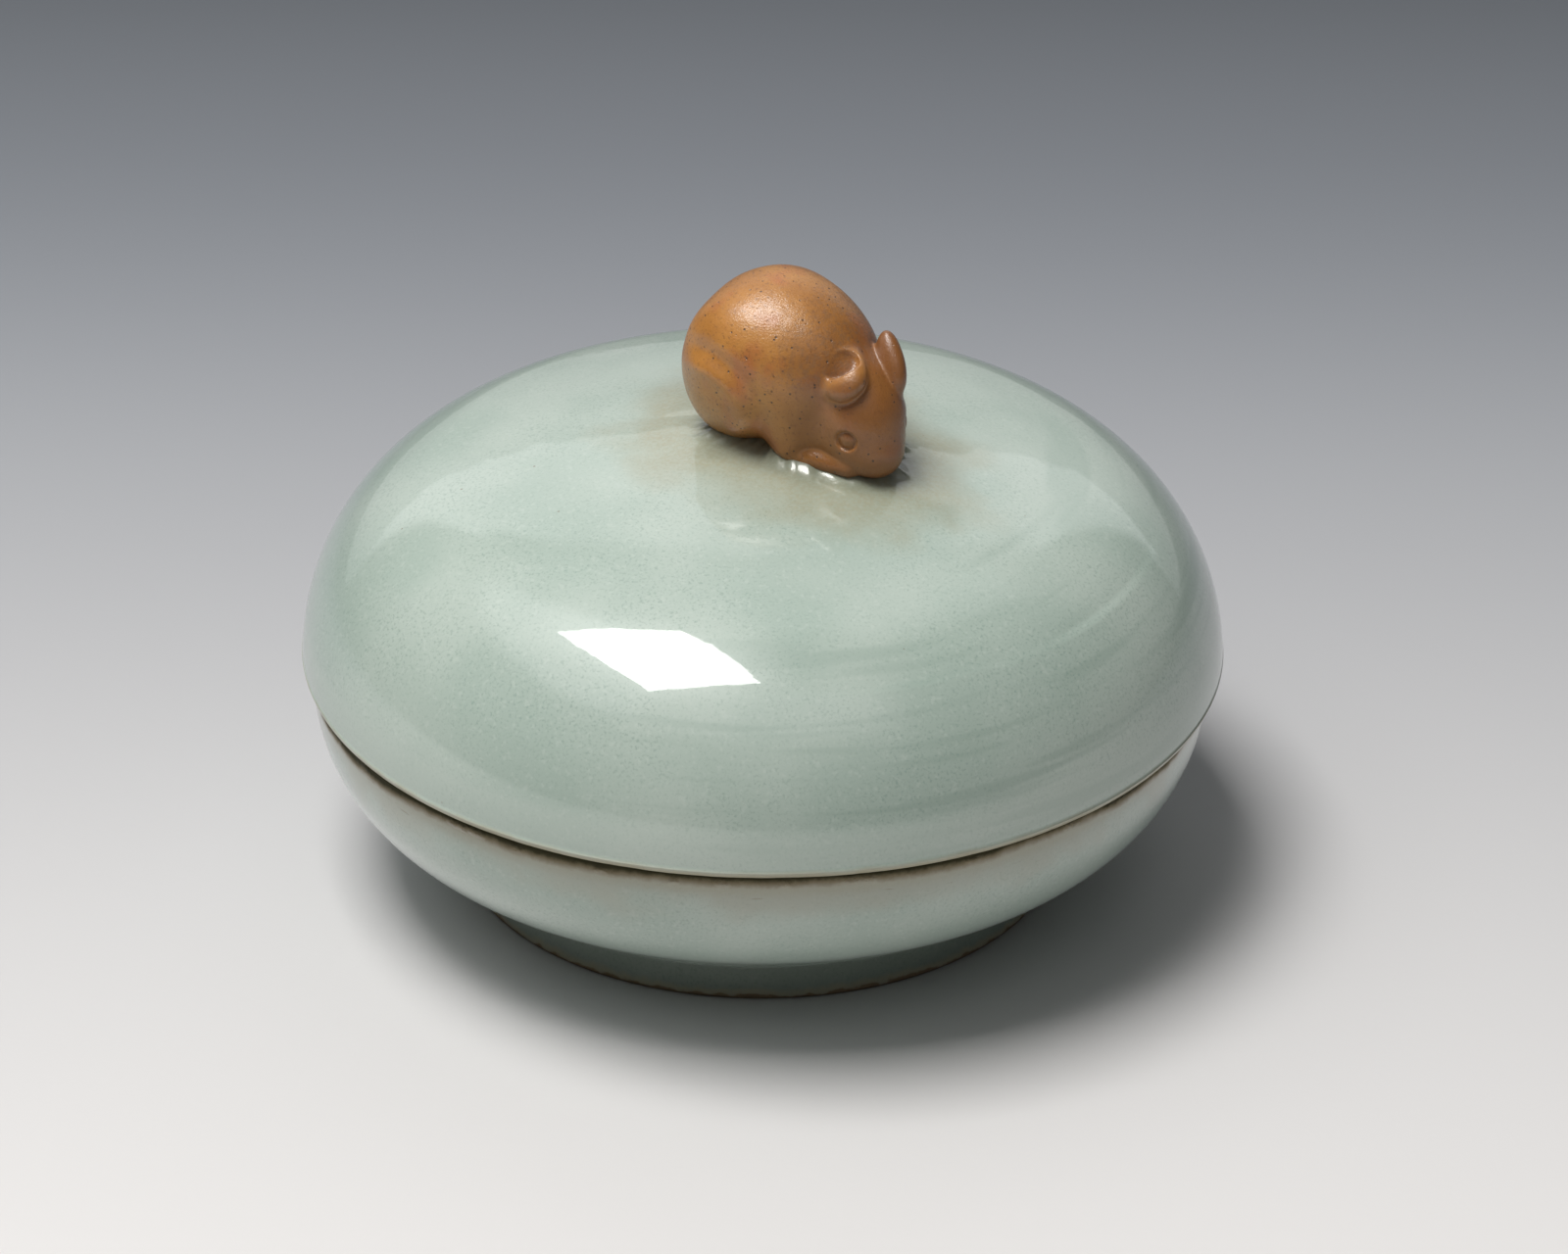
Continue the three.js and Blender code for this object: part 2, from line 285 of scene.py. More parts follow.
def lid_glaze():
    shader = Shader("celadon_glaze_lid")
    colour = glaze_colour(shader)
    # painted shade: darker streaks along the throwing rings, mostly on the one side where the light grazes
    # them
    ring = shader.noise(2.6, 2, place=shader.stretched((0.05, 0.05, 1.0)))
    ring_shade = shader.fade(ring, 0.50, 0.66, 0.0, 0.42)
    side = shader.fade(shader.x, -5, 45)
    colour = shader.mix(shader.math("MULTIPLY", ring_shade, side), colour, GLAZE_RING_SHADE)
    # the glaze is smoother and paler low on the side
    low = shader.fade(shader.z, SEAT_Z + 8.5, SEAT_Z + 6.5, 0.0, 0.45)
    colour = shader.mix(low, colour, GLAZE_LOW)
    # tan stain drawn out of the mouse's clay, with a greyer ring next to it
    gap = shader.attribute("mouse_gap")
    ragged = shader.math("ADD", gap, shader.fade(shader.noise(11, 2), 0.3, 0.7, -2.4, 2.4))
    blotch = shader.fade(shader.noise(6, 3), 0.3, 0.7, 0.84, 1.0)
    grit = shader.fade(shader.noise(0.7, 3, 0.6), 0.35, 0.65, 0.72, 1.0)
    blotch = shader.math("MULTIPLY", blotch, grit)
    stain = shader.fade(ragged, 16.5, 5.0, 0.0, 0.76)
    colour = shader.mix(shader.math("MULTIPLY", stain, blotch), colour, HALO_TAN)
    close = shader.fade(ragged, 6.0, 0.5, 0.0, 0.70)
    colour = shader.mix(shader.math("MULTIPLY", close, blotch), colour, HALO_GREY)
    # thin tan line where the glaze draws back from the edge
    edge_noise = shader.fade(shader.noise(5, 2), 0.3, 0.7, -0.12, 0.12)
    edge = shader.math("ADD", shader.z, edge_noise)
    line = shader.fade(edge, SEAT_Z + 1.9, SEAT_Z + 0.8, 0.0, 0.85)
    colour = shader.mix(line, colour, RIM_TAN)
    bare = shader.fade(edge, SEAT_Z + 1.1, SEAT_Z + 0.5)
    # painted shade: the lid's lowest edge made dark, as in the gap over the bowl's rim
    colour = shader.mix(shader.fade(edge, SEAT_Z + 0.5, SEAT_Z + 0.25), colour, SEAM_SHADE_OLIVE)
    return glazed(shader, colour, bare, glaze_bump(shader))


def bowl_glaze():
    shader = Shader("celadon_glaze_bowl")
    colour = glaze_colour(shader)
    # thin, greyer glaze below the rim
    ragged = shader.math("ADD", shader.z, shader.fade(shader.noise(14, 3), 0.3, 0.7, -2.5, 2.5))
    thin = shader.fade(ragged, SEAT_Z - 10, SEAT_Z - 3, 0.0, 0.70)
    colour = shader.mix(thin, colour, GLAZE_THIN)
    # scratches along the rim
    scratch = shader.noise(1.6, 3, 0.6, place=shader.stretched((0.22, 0.22, 2.2)))
    worn = shader.fade(shader.z, SEAT_Z - 9, SEAT_Z - 4)
    share = shader.math("MULTIPLY", shader.fade(scratch, 0.66, 0.76, 0.0, 0.55), worn)
    colour = shader.mix(share, colour, SCRATCH_BROWN)
    edge_noise = shader.fade(shader.noise(2.0, 4, 0.65), 0.3, 0.7, -0.16, 0.16)
    edge = shader.math("ADD", shader.z, edge_noise)
    line = shader.fade(edge, SEAT_Z - 5.0, SEAT_Z - 2.6, 0.0, 0.50)
    colour = shader.mix(line, colour, RIM_TAN)
    wide = shader.fade(shader.noise(24, 1), 0.40, 0.60, -0.05, 0.45)
    # the stain and the painted shade of the seam reach further down at the left and right ends, as the camera
    # stands
    side = shader.along(shader.place, direction(1, 0, 0))
    wide = shader.math("ADD", wide, shader.fade(shader.math("ABSOLUTE", side), 40, 72, 0.0, 0.95))
    stain_and_shade_line = shader.math("ADD", edge, wide)
    colour = shader.mix(shader.fade(stain_and_shade_line, SEAT_Z - 2.9, SEAT_Z - 1.8, 0.0, 0.80), colour, RIM_BROWN)
    # painted shade: a dark olive line under the lid's edge, over the rim's stain
    seam_shade = shader.fade(stain_and_shade_line, SEAT_Z - 1.9, SEAT_Z - 0.9)
    colour = shader.mix(seam_shade, colour, SEAM_SHADE_OLIVE)
    bare = shader.fade(stain_and_shade_line, SEAT_Z - 2.5, SEAT_Z - 1.4)
    # small blobs where the glaze ran up to the edge
    blobs = shader.math("MULTIPLY", shader.noise(0.7, 2, 0.6), shader.fade(shader.noise(9), 0.50, 0.58))
    place = shader.math("MULTIPLY", shader.fade(edge, SEAT_Z - 2.7, SEAT_Z - 1.9), blobs)
    normal = shader.bump(place, 0.5, glaze_bump(shader))
    return glazed(shader, colour, bare, normal)


def foot_glaze():
    shader = Shader("celadon_glaze_foot")
    # painted shade: the whole foot darkened, as under the bowl's overhang it gets little light
    colour = shader.mix(0.62, glaze_colour(shader), FOOT_PAINTED_SHADE)
    edge = shader.math("ADD", shader.z, shader.fade(shader.noise(3, 2), 0.3, 0.7, -0.35, 0.35))
    colour = shader.mix(shader.fade(edge, 2.4, 1.0, 0.0, 0.8), colour, RIM_TAN)
    bare = shader.fade(edge, 1.05, 0.6)
    colour = shader.mix(bare, colour, STONEWARE_TAN)
    return glazed(shader, colour, bare, glaze_bump(shader))


def bare_stoneware():
    shader = Shader("bare_stoneware")
    burnt = shader.fade(shader.noise(6, 4, 0.6), 0.35, 0.65)
    colour = shader.mix(burnt, STONEWARE_TAN, STONEWARE_BURNT)
    grit = shader.fade(shader.noise(0.5, 2), 0.6, 0.75, 0.0, 0.5)
    colour = shader.mix(grit, colour, GRIT_PALE)
    normal = shader.bump(shader.noise(0.6, 3, 0.65), 0.05)
    roughness = shader.fade(shader.noise(3, 2), 0.3, 0.7, 0.6, 0.85)
    return shader.finish({
        "Base Color": colour,
        "Roughness": roughness,
        "IOR": 1.5,
        "Normal": normal,
    })


def mouse_biscuit():
    shader = Shader("mouse_biscuit")
    clouds = shader.fade(shader.noise(6.5, 3, 0.55), 0.34, 0.66)
    colour = shader.mix(clouds, MOUSE_ORANGE, MOUSE_TAN)
    red = shader.fade(shader.noise(8, 3, place=shader.stretched((1.0, 1.1, 0.7))), 0.52, 0.66, 0.0, 0.5)
    colour = shader.mix(red, colour, MOUSE_RED)
    # the head is burnt darker than the body, with painted shade on its side away from the light
    front = shader.math("ADD", shader.x, shader.fade(shader.noise(7, 2), 0.3, 0.7, -2.0, 2.0))
    colour = shader.mix(shader.fade(front, 5.0, 22.0, 0.0, 0.72), colour, MOUSE_BROWN_AND_SHADE)
    # painted shade: darker brown in the hollows and near black in the deepest, from their ambient occlusion,
    # with the patina there
    occlusion = shader.attribute("occlusion")
    colour = shader.mix(shader.fade(occlusion, 0.16, 0.80, 0.0, 0.55), colour, MOUSE_BROWN_AND_SHADE)
    dirt_and_shade = shader.fade(occlusion, 0.55, 1.0, 0.0, 0.28)
    colour = shader.mix(dirt_and_shade, colour, DIRT_AND_SHADE)
    # brown rubbed dust on the nape and between the ears
    dust = shader.fade(shader.noise(0.8, 4, 0.75), 0.44, 0.62)
    place = shader.math("MULTIPLY", shader.fade(shader.x, 6.0, 15.0), shader.fade(shader.x, 25.0, 19.0))
    height = shader.fade(shader.z, CROWN_Z + 10.0, CROWN_Z + 16.0, 0.0, 0.42)
    dust = shader.math("MULTIPLY", shader.math("MULTIPLY", dust, place), height)
    colour = shader.mix(dust, colour, MOUSE_DUST)
    speckle = shader.fade(shader.noise(0.6, 3, 0.7), 0.54, 0.68, 0.0, 0.55)
    colour = shader.mix(speckle, colour, SPECKLE_BROWN)
    pores = shader.math("MULTIPLY", shader.spots(1.3, 0.23), shader.fade(shader.noise(4), 0.42, 0.52))
    colour = shader.mix(shader.math("MULTIPLY", pores, 0.9), colour, PORE_DARK)
    ridge = shader.attribute("ridge")
    colour = shader.mix(shader.math("MULTIPLY", ridge, 0.45), colour, RIDGE_PALE)
    # painted shade: the far ear is made darkest, as it lies in shade
    far_ear_shade = shader.math("MULTIPLY", shader.fade(shader.y, -1.2, 1.2), shader.fade(shader.x, 18.0, 21.0))
    colour = shader.mix(shader.math("MULTIPLY", far_ear_shade, 0.80), colour, MOUSE_BROWN_AND_SHADE)
    grain = shader.noise(0.34, 3, 0.65)
    normal = shader.bump(grain, 0.065)
    normal = shader.bump(shader.noise(2.2, 3), 0.10, normal)
    normal = shader.bump(pores, -0.05, normal)
    roughness = shader.fade(grain, 0.3, 0.7, 0.40, 0.60)
    return shader.finish({
        "Base Color": colour,
        "Roughness": roughness,
        "IOR": 1.45,
        "Specular IOR Level": 0.5,
        "Coat Weight": 0.90,
        "Coat Roughness": 0.19,
        "Coat IOR": 1.45,
        "Normal": normal,
        "Coat Normal": normal,
    })


# ---- Meshes ------------------------------------------------------------------------------


def mesh_object(name, points, faces, material, normals=None, attributes=None):
    """A smooth-shaded object from points in millimetres."""
    mesh = bpy.data.meshes.new(name)
    mesh.from_pydata((np.asarray(points) * MM).tolist(), [], faces)
    mesh.polygons.foreach_set("use_smooth", [True] * len(mesh.polygons))
    mesh.materials.append(material)
    for key, values in (attributes or {}).items():
        layer = mesh.attributes.new(key, "FLOAT", "POINT")
        layer.data.foreach_set("value", np.asarray(values, np.float32))
    mesh.update()
    if normals is not None:
        mesh.normals_split_custom_set_from_vertices(np.asarray(normals).tolist())
    made = bpy.data.objects.new(name, mesh)
    bpy.context.scene.collection.objects.link(made)
    return made


def arc(centre_r, centre_z, radius, from_angle, to_angle, spacing=1.0):
    steps = max(2, round(abs(to_angle - from_angle) * radius / spacing))
    angles = np.linspace(from_angle, to_angle, steps + 1)
    return [(centre_r + radius * math.cos(a), centre_z + radius * math.sin(a)) for a in angles]


def line(start, end, steps):
    return [tuple(np.array(start) + (np.array(end) - start) * i / steps) for i in range(steps + 1)]


def without_repeats(profile):
    kept = [profile[0]]
    for point in profile[1:]:
        if math.dist(point, kept[-1]) > 1e-3:
            kept.append(point)
    return kept


def turned(profile, closed):
    """Points and faces of a profile turned about Z: closed on itself, or from axis to axis."""
    profile = without_repeats(profile)
    if closed and math.dist(profile[0], profile[-1]) < 1e-4:
        profile = profile[:-1]
    rings = profile if closed else profile[1:-1]
    angles = np.arange(TURN_SEGMENTS) * 2 * math.pi / TURN_SEGMENTS
    r, z = np.array(rings).T
    points = np.stack([
        np.outer(r, np.cos(angles)),
        np.outer(r, np.sin(angles)),
        np.outer(z, np.ones(TURN_SEGMENTS)),
    ], axis=-1).reshape(-1, 3)
    count = len(rings)
    faces = []
    for i in range(count if closed else count - 1):
        j = (i + 1) % count
        for k in range(TURN_SEGMENTS):
            m = (k + 1) % TURN_SEGMENTS
            here, there = i * TURN_SEGMENTS, j * TURN_SEGMENTS
            faces.append((here + k, here + m, there + m, there + k))
    if not closed:
        start, end = len(points), len(points) + 1
        last = (count - 1) * TURN_SEGMENTS
        points = np.vstack([points, (0, 0, profile[0][1]), (0, 0, profile[-1][1])])
        for k in range(TURN_SEGMENTS):
            m = (k + 1) % TURN_SEGMENTS
            faces.append((start, m, k))
            faces.append((end, last + k, last + m))
    return points, faces


def handmade(points, seed):
    """Moves points a little, as throwing does: slightly out of round, with soft throwing rings.
    The plane where the bowl and the lid meet keeps its height."""
    x, y, z = points.T
    radius = np.hypot(x, y)
    angle = np.arctan2(y, x)
    away = np.clip(np.abs(z - SEAT_Z) / 6, 0, 1)
    oval = 0.0011 * np.cos(2 * angle + 0.7) + 0.0006 * np.cos(3 * angle + 2.1)
    reach = np.sqrt(radius**2 + (z - SEAT_Z) ** 2)
    rings = np.sin(reach * 1.25 + 1.3 * np.sin(angle + seed)) * (0.6 + 0.4 * np.sin(2 * angle + seed))
    rings += 0.6 * np.sin(reach * 0.61 + 2.0 * np.cos(angle * 2 + seed))
    sag = 0.16 * np.sin(angle * 2 + seed) * np.clip(radius / 60, 0, 1) * away
    moved = points.copy()
    moved[:, 0] *= 1 + oval
    moved[:, 1] *= 1 + oval
    moved[:, 2] += (0.016 * rings * np.clip(radius / 20, 0, 1) + sag) * away
    return moved


# ---- Mouse, as a distance field in millimetres about the crown of the lid ------------------

CROWN_CENTRE = np.array([0.0, 0.0, -LID_CROWN_ARC])
BED_DEPTH = 0.9  # the mouse is bedded this deep in the lid's glaze and clay
EYES = ((21.6, -7.0, 5.9), (25.4, 2.4, 6.1))


def length(v):
    return np.sqrt((v * v).sum(-1))


def unit(v):
    return np.asarray(v, float) / np.linalg.norm(v)


def smooth_step(start, end, x):
    t = np.clip((x - start) / (end - start), 0, 1)
    return t * t * (3 - 2 * t)


def union(a, b, blend):
    share = np.clip(0.5 + 0.5 * (b - a) / blend, 0, 1)
    return b * (1 - share) + a * share - blend * share * (1 - share)


def cut(a, b, blend):
    return -union(-a, b, blend)


def ellipsoid(p, centre, radii, turn=(0, 0, 0)):
    axes = np.array(Euler(turn).to_matrix())
    return ellipsoid_on(p, centre, radii, axes)


def ellipsoid_on(p, centre, radii, axes):
    return ellipsoid_about((p - np.array(centre)) @ axes, radii)


def ellipsoid_about(q, radii):
    near = length(q / np.array(radii))
    slope = length(q / np.square(radii))
    return near * (near - 1) / np.maximum(slope, 1e-9)


def round_cone(p, start, end, start_radius, end_radius):
    start, end = np.array(start, float), np.array(end, float)
    axis = end - start
    size = axis @ axis
    drop = start_radius - end_radius
    slant = size - drop * drop
    q = p - start
    y = q @ axis
    z = y - size
    x2 = ((q * size - axis * y[..., None]) ** 2).sum(-1)
    y2, z2 = y * y * size, z * z * size
    edge = np.sign(drop) * drop * drop * x2
    side = (np.sqrt(x2 * slant / size) + y * drop) / size - start_radius
    past_end = np.sqrt(x2 + z2) / size - end_radius
    past_start = np.sqrt(x2 + y2) / size - start_radius
    side = np.where(np.sign(y) * slant * y2 < edge, past_start, side)
    return np.where(np.sign(z) * slant * z2 > edge, past_end, side)


def on_side(point, side):
    return (point[0], point[1] * side, point[2])


def dome(p):
    return length(p - CROWN_CENTRE) - LID_CROWN_ARC


def haunch_ring(p):
    """Signed distance, seen from the side, to the line round a haunch."""
    x, z = p[..., 0] + 1.4, p[..., 2] - 8.0
    return (np.sqrt((x / 9.0) ** 2 + (z / 8.0) ** 2) - 1) * 8.5


def torso(p):
    rump = ellipsoid(p, (2.2, 0, 13.2), (12.3, 13.9, 13.1))
    chest = ellipsoid(p, (7.9, 0, 12.05), (13.1, 11.5, 12.3))
    return union(rump, chest, 5.0)


def haunch(p, side):
    return ellipsoid(p, on_side((-1.2, 6.7, 10.9), side), (8.2, 4.9, 11.1), (side * -0.05, 0.25, 0))


def haunch_relief(p):
    """A shallow valley in front of and over each haunch, and a soft lip inside it."""
    ring = haunch_ring(p)
    turn = np.arctan2(p[..., 2] - 8.0, p[..., 0] + 1.4)
    fade = smooth_step(2.7, 1.7, turn) * smooth_step(-1.4, -0.6, turn)
    fade *= smooth_step(3.0, 8.0, np.abs(p[..., 1]))
    valley = 0.58 * np.exp(-(((ring - 0.6) / 1.8) ** 2))
    lip = 0.40 * np.exp(-(((ring + 2.2) / 1.7) ** 2))
    return fade * (valley - lip)


def head(p):
    muzzle = round_cone(p, (17.9, -0.6, 11.6), (24.4, -2.8, 2.6), 6.05, 3.55)
    cheeks = ellipsoid(p, (20.6, -1.5, 6.6), (5.6, 6.5, 6.6), (0, 0.5, -0.25))
    jaw = ellipsoid(p, (21.0, -2.0, 2.4), (5.4, 5.0, 3.4), (0, 0.15, -0.2))
    throat = ellipsoid(p, (15.6, -1.0, 4.6), (6.5, 6.4, 5.6))
    return union(union(union(muzzle, cheeks, 4.5), jaw, 3.0), throat, 2.5)


EARS = {
    # centre, way the hollow faces, way the tip points, radii, hollow's offset, radii and turn
    "right": (
        (19.1, -4.5, 15.6), (-0.158, -0.652, 0.752), (-0.46, 0.33, 0.86),
        (2.4, 5.1, 3.6), (1.8, 0.45, 0.1), (2.5, 3.35, 2.35), -1.30,
    ),
    "left": (
        (22.5, 2.8, 15.0), (0.401, 0.908, -0.103), (-0.25, 0.36, 0.90),
        (2.1, 5.5, 3.4), (1.9, 0.9, 0.0), (1.6, 2.8, 1.9), 0.0,
    ),
}


def ear(p, word):
    centre, facing, tip, radii, hollow_offset, hollow_radii, hollow_turn = EARS[word]
    facing = unit(facing)
    tip = unit(np.array(tip) - np.dot(tip, facing) * facing)
    across = np.cross(facing, tip)
    axes = np.stack([facing, tip, across], 1)
    q = (p - np.array(centre)) @ axes
    narrowing = 1 - 0.055 * np.clip(q[..., 1], -3, 5)
    q = np.stack([q[..., 0], q[..., 1], q[..., 2] / narrowing], -1)
    shell = ellipsoid_about(q, radii) * 0.9
    c, s = math.cos(hollow_turn), math.sin(hollow_turn)
    hollow_axes = np.stack([facing, tip * c + across * s, across * c - tip * s], 1)
    hollow_centre = np.array(centre) + axes @ np.array(hollow_offset)
    hollow = ellipsoid_on(p, hollow_centre, hollow_radii, hollow_axes)
    return cut(shell, hollow, 0.6)


def foreleg(p, side):
    shoulder = ellipsoid(p, on_side((11.0, 5.7, 5.9), side), (5.6, 4.2, 6.6), (side * 0.2, 0.45, 0))
    arm = round_cone(p, on_side((10.4, 7.1, 8.5), side), on_side((11.1, 7.5, 2.0), side), 3.2, 2.6)
    return union(shoulder, arm, 1.5)


def paw(p, side):
    return round_cone(p, on_side((12.0, 7.1, 0.6), side), on_side((21.2, 6.3, 0.4), side), 2.2, 1.65)


def mouse(p):
    """The whole mouse but its tail."""
    made = torso(p)
    for side in (-1, 1):
        made = union(made, haunch(p, side), 4.5)
    made = made + haunch_relief(p)
    for side in (-1, 1):
        made = union(made, foreleg(p, side), 2.0)
    made = union(made, head(p), 1.8)
    for side in (-1, 1):
        made = union(made, paw(p, side), 0.8)
    for word in EARS:
        made = union(made, ear(p, word), 0.95)
    for eye in EYES:
        made = made + 0.52 * np.exp(-(((length(p - np.array(eye)) - 1.65) / 0.40) ** 2))
    return made


def bedded(p):
    return np.maximum(mouse(p), -(dome(p) + BED_DEPTH))


def piece_distances(p):
    """How near each named piece of the mouse is, for sharing out its surface."""
    body = torso(p)
    flank = haunch_ring(p) * 0.6
    distances = {"mouse_torso": body, "mouse_head": head(p)}
    for side, word in ((-1, "right"), (1, "left")):
        inner = 5.0 - side * p[..., 1]
        distances["mouse_haunch_" + word] = body + np.maximum(flank, inner)
        leg = np.minimum(foreleg(p, side), paw(p, side))
        distances["mouse_foreleg_" + word] = leg
        distances["mouse_ear_" + word] = ear(p, word)
    return distances


def gradient(field, points, step=0.02):
    offsets = np.eye(3) * step
    slopes = [field(points + offset) - field(points - offset) for offset in offsets]
    return np.stack(slopes, -1) / (2 * step)


def surface_net(field, low, high, cell):
    """Points and quads of the field's zero surface: one point in each cell that it crosses."""
    axes = [np.arange(a, b + cell, cell) for a, b in zip(low, high)]
    shape = tuple(len(axis) for axis in axes)
    values = np.empty(shape)
    for i, x in enumerate(axes[0]):
        y, z = np.meshgrid(axes[1], axes[2], indexing="ij")
        values[i] = field(np.stack([np.full_like(y, x), y, z], -1))
    inside = values < 0
    total = np.zeros((*(n - 1 for n in shape), 3))
    count = np.zeros(tuple(n - 1 for n in shape))
    corners = [(i, j, k) for i in (0, 1) for j in (0, 1) for k in (0, 1)]

    def at(array, corner):
        return array[tuple(slice(c, n - 1 + c) for c, n in zip(corner, shape))]

    for a in corners:
        for axis in range(3):
            if a[axis]:
                continue
            b = tuple(c + (i == axis) for i, c in enumerate(a))
            crossed = at(inside, a) != at(inside, b)
            start, end = at(values, a), at(values, b)
            span = np.where(crossed, start - end, 1)
            share = np.where(crossed, start / span, 0)
            for i in range(3):
                total[..., i] += crossed * (a[i] + (share if i == axis else 0))
            count += crossed
    used = count > 0
    index = np.full(used.shape, -1)
    index[used] = np.arange(used.sum())
    cells = np.argwhere(used)
    points = np.array(low) + (cells + total[used] / count[used][:, None]) * cell
    quads = []
    for axis in range(3):
        u, v = (axis + 1) % 3, (axis + 2) % 3
        step = np.eye(3, dtype=int)
        start = [slice(1, -1)] * 3
        start[axis] = slice(0, -1)
        end = list(start)
        end[axis] = slice(1, None)
        here, there = inside[tuple(start)], inside[tuple(end)]
        crossings = np.argwhere(here != there)
        outward = here[tuple(crossings.T)]
        crossings = crossings + 1 - step[axis]
        ring = [crossings - step[u] - step[v], crossings - step[v], crossings, crossings - step[u]]
        quad = np.stack([index[tuple(c.T)] for c in ring], 1)
        quad[~outward] = quad[~outward][:, ::-1]
        quads.append(quad)
    return points, np.vstack(quads)


def face_labels(points, quads):
    names = list(piece_distances(points[:1]))
    centres = points[quads].mean(1)
    distances = piece_distances(centres)
    labels = np.argmin(np.stack([distances[n] for n in names]), 0)
    # a face takes its neighbours' piece where it stands alone
    for _ in range(6):
        votes = np.zeros((len(points), len(names)))
        for corner in range(4):
            np.add.at(votes, (quads[:, corner], labels), 1)
        labels = np.argmax(votes[quads].sum(1) + 0.1 * np.eye(len(names))[labels], 1)
    return names, labels


def capped(points, quads, normals):
    """The patch as a closed solid: a fan from each open loop to a point inside the mouse."""
    used, flat = np.unique(quads, return_inverse=True)
    faces = flat.reshape(quads.shape)
    points, normals = points[used], normals[used]
    edges = np.concatenate([np.stack([faces[:, i], faces[:, (i + 1) % 4]], 1) for i in range(4)])
    known = {tuple(e) for e in edges.tolist()}
    open_edges = [e for e in known if (e[1], e[0]) not in known]
    group = {v: v for e in open_edges for v in e}

    def root(v):
        while group[v] != v:
            group[v] = group[group[v]]
            v = group[v]
        return v

    for a, b in open_edges:
        group[root(a)] = root(b)
    made = faces.tolist()
    hubs = {}
    for vertex in sorted(group):
        hubs.setdefault(root(vertex), []).append(vertex)
    for key, members in sorted(hubs.items()):
        hub = points[members].mean(0)
        way = normals[members].mean(0)
        hubs[key] = len(points)
        points = np.vstack([points, hub - way * 1.5])
        normals = np.vstack([normals, -way])
    made += [(b, a, hubs[root(a)]) for a, b in sorted(open_edges)]
    return used, points, made, normals


def shade_attributes(points, normals):
    """How deep in a hollow, and how near a thin edge, each point of the mouse lies, 0 to 1. The depth is an
    ambient occlusion, which the material paints as shade.
    """
    occlusion = np.zeros(len(points))
    for reach, weight in ((0.7, 0.3), (1.6, 0.4), (3.5, 0.3)):
        free = mouse(points + normals * reach) / reach
        occlusion += weight * (1 - np.clip(free, 0, 1))
    ridge = 1 - np.clip(-mouse(points - normals * 1.6) / 1.6, 0, 1)
    return np.clip(occlusion, 0, 1), smooth_step(0.12, 0.7, ridge)


# ---- Pieces ------------------------------------------------------------------------------


def tangent_angle(side_centre_r, side_arc, axis_arc):
    return math.acos(side_centre_r / (axis_arc - side_arc))


def placed(piece, body, slot, *nodes):
    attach(piece, body)
    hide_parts(*nodes)


def worn_rim(points):
    """The bowl's rim falls away outside the seat, more in some places than in others."""
    x, y, z = points.T
    radius = np.hypot(x, y)
    angle = np.arctan2(y, x)
    share = smooth_step(BOWL_RADIUS - 2.8, BOWL_RADIUS - 1.6, radius) * smooth_step(SEAT_Z - 5, SEAT_Z - 1, z)
    uneven = 0.66 + 0.30 * np.cos(4 * angle + 1.25) + 0.06 * np.sin(17 * angle) + 0.05 * np.sin(41 * angle)
    moved = points.copy()
    moved[:, 2] -= RIM_DROP * share * uneven
    return moved


def make_bowl():
    side_r = BOWL_RADIUS - BOWL_SIDE_ARC
    outer_turn = tangent_angle(side_r, BOWL_SIDE_ARC, BOWL_UNDER_ARC)
    under_z = BOWL_SIDE_Z + (BOWL_UNDER_ARC - BOWL_SIDE_ARC) * math.sin(outer_turn)
    foot_angle = math.asin((FOOT_TOP_Z - under_z) / BOWL_UNDER_ARC)
    inner_arc = BOWL_INNER_SIDE_ARC
    inner_r = BOWL_INNER_RADIUS - inner_arc
    drop = BOWL_SIDE_Z - BOWL_FLOOR_Z
    floor_arc = (inner_r**2 + drop**2 - inner_arc**2) / (2 * (drop - inner_arc))
    inner_turn = tangent_angle(inner_r, inner_arc, floor_arc)
    rim_z = SEAT_Z - SEAM_CLEARANCE
    profile = [
        *line((0, FOOT_TOP_Z), (BOWL_UNDER_ARC * math.cos(foot_angle), FOOT_TOP_Z), 12),
        *arc(0, under_z, BOWL_UNDER_ARC, foot_angle, -outer_turn, 0.6),
        *arc(side_r, BOWL_SIDE_Z, BOWL_SIDE_ARC, -outer_turn, 0, 0.6),
        *arc(BOWL_RADIUS - RIM_ROUNDING, rim_z - RIM_ROUNDING, RIM_ROUNDING, 0, math.pi / 2, 0.15),
        *line((BOWL_RADIUS - RIM_ROUNDING, rim_z), (FLANGE_RADIUS + 0.5, rim_z), 5),
        *line((FLANGE_RADIUS + 0.5, rim_z), (FLANGE_RADIUS + 0.3, rim_z - 0.2), 1),
        *line((FLANGE_RADIUS + 0.3, REBATE_Z), (BOWL_INNER_RADIUS, REBATE_Z), 3),
        *arc(inner_r, BOWL_SIDE_Z, inner_arc, -0.06, -inner_turn, 0.7),
        *arc(0, BOWL_FLOOR_Z + floor_arc, floor_arc, -inner_turn, -math.pi / 2, 1.0),
    ]
    points, faces = turned(profile, closed=False)
    points = worn_rim(handmade(points, seed=2.0))
    body = mesh_object("bowl_glazed", points, faces, bowl_glaze())
    placed(body, "bowl", "celadon_glaze", "bowl_body")


